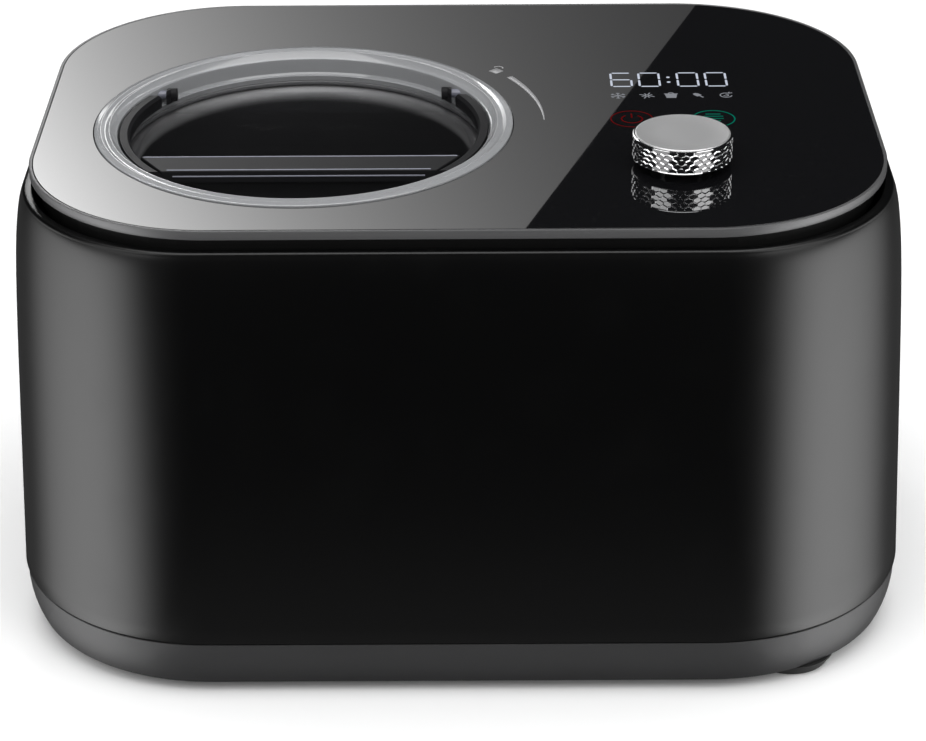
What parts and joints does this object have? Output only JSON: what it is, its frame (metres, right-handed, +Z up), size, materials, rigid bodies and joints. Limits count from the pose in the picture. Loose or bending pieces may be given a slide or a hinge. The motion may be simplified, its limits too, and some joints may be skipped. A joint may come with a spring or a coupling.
{
  "type": "ice cream maker",
  "caption": "Countertop compressor ice cream maker: rounded black housing, glass top with knob and display, lift-out bowl and paddle under a twist-off clear lid with a refill flap.",
  "frame": {"origin": "centre of the footprint, on the table", "axes": "+Z up, the front toward -Y, +X to the right of someone who faces the front"},
  "size_m": [0.398, 0.296, 0.2313],
  "materials": {
    "housing_paint": "satin black paint",
    "moulded_black": "fine-grained black moulding",
    "rubber_black": "matt black rubber",
    "trim_metal": "brushed and anodised, dark",
    "black_glass": "polished black-backed glass",
    "lid_clear": "clear polished",
    "flap_smoke": "smoked, polished",
    "silicone": "grey silicone",
    "bowl_aluminium": "anodised",
    "knob_chrome": "knurled and plated",
    "knob_aluminium": "fine bead-blasted",
    "steel": "plain steel",
    "nylon": "natural nylon",
    "copper": "copper tube",
    "compressor_paint": "black enamel",
    "foam": "rigid foam",
    "circuit": "solder mask"
  },
  "bodies": {
    "base_body": {"housing": "housing_paint", "rear_grille": "moulded_black", "base_pan": "moulded_black", "cord_gland": "rubber_black", "foot_front_left": "rubber_black", "foot_front_right": "rubber_black", "foot_rear_left": "rubber_black", "foot_rear_right": "rubber_black", "top_deck": "moulded_black", "top_trim": "trim_metal", "top_glass": "black_glass", "well_collar": "moulded_black", "evaporator_drum": "bowl_aluminium", "evaporator_coil": "copper", "foam_jacket": "foam", "shaft_bush": "rubber_black", "gear_case": "moulded_black", "gear_cover": "moulded_black", "idler_pin": "steel", "mixing_motor": "steel", "knob_collar": "rubber_black", "encoder": "moulded_black", "display_board": "circuit", "compressor": "compressor_paint", "compressor_tray": "steel", "terminal_cover": "moulded_black", "grommet_1": "rubber_black", "grommet_2": "rubber_black", "grommet_3": "rubber_black", "grommet_4": "rubber_black", "condenser": "bowl_aluminium", "fan_shroud": "moulded_black", "fan_motor": "steel", "filter_drier": "copper", "discharge_pipe": "copper", "suction_pipe": "rubber_black", "liquid_pipe": "copper", "main_board": "circuit"},
    "bowl_body": {"bowl": "bowl_aluminium"},
    "paddle_body": {"paddle": "nylon"},
    "seal_body": {"lid_seal": "silicone"},
    "lid_body": {"lid_ring": "lid_clear"},
    "flap_body": {"refill_flap": "flap_smoke", "flap_pin_left": "steel", "flap_pin_right": "steel"},
    "drive_body": {"drive_shaft": "steel", "output_gear": "nylon"},
    "idler_body": {"idler_gear": "nylon"},
    "pinion_body": {"motor_pinion": "steel"},
    "knob_body": {"knob_grip": "knob_chrome", "knob_cap": "knob_aluminium", "knob_spindle": "steel"},
    "fan_body": {"fan_rotor": "moulded_black"}
  },
  "joints": [
    {"name": "bowl_lift", "type": "slide", "parent": "base_body", "child": "bowl_body", "axis": [0, 0, 1], "range_m": [0, 0.16]},
    {"name": "paddle_spin", "type": "hinge", "parent": "bowl_body", "child": "paddle_body", "pos_m": [-0.0682, -0.0172, 0.1], "axis": [0, 0, 1], "continuous": true},
    {"name": "lid_lift", "type": "slide", "parent": "bowl_body", "child": "seal_body", "axis": [0, 0, 1], "range_m": [0, 0.08]},
    {"name": "lid_turn", "type": "hinge", "parent": "seal_body", "child": "lid_body", "pos_m": [-0.0682, -0.0172, 0.21], "axis": [0, 0, 1], "range_deg": [-30, 0]},
    {"name": "flap_hinge", "type": "hinge", "parent": "lid_body", "child": "flap_body", "pos_m": [-0.0682, 0.0295, 0.212], "axis": [-1, 0, 0], "range_deg": [0, 95]},
    {"name": "drive_spin", "type": "hinge", "parent": "base_body", "child": "drive_body", "pos_m": [-0.0682, -0.0172, 0.06], "axis": [0, 0, 1], "continuous": true},
    {"name": "idler_spin", "type": "hinge", "parent": "base_body", "child": "idler_body", "pos_m": [-0.0322, -0.0172, 0.05], "axis": [0, 0, 1], "continuous": true},
    {"name": "pinion_spin", "type": "hinge", "parent": "base_body", "child": "pinion_body", "pos_m": [0.0038, -0.0172, 0.048], "axis": [0, 0, 1], "continuous": true},
    {"name": "knob_turn", "type": "hinge", "parent": "base_body", "child": "knob_body", "pos_m": [0.096, -0.065, 0.22], "axis": [0, 0, 1], "continuous": true},
    {"name": "fan_spin", "type": "hinge", "parent": "base_body", "child": "fan_body", "pos_m": [0.08, 0.08, 0.078], "axis": [0, 1, 0], "continuous": true}
  ],
  "couplings": [
    {"joint": "idler_spin", "follows": "drive_spin", "ratio": -3},
    {"joint": "pinion_spin", "follows": "drive_spin", "ratio": 9},
    {"joint": "paddle_spin", "follows": "drive_spin", "ratio": 1}
  ]
}
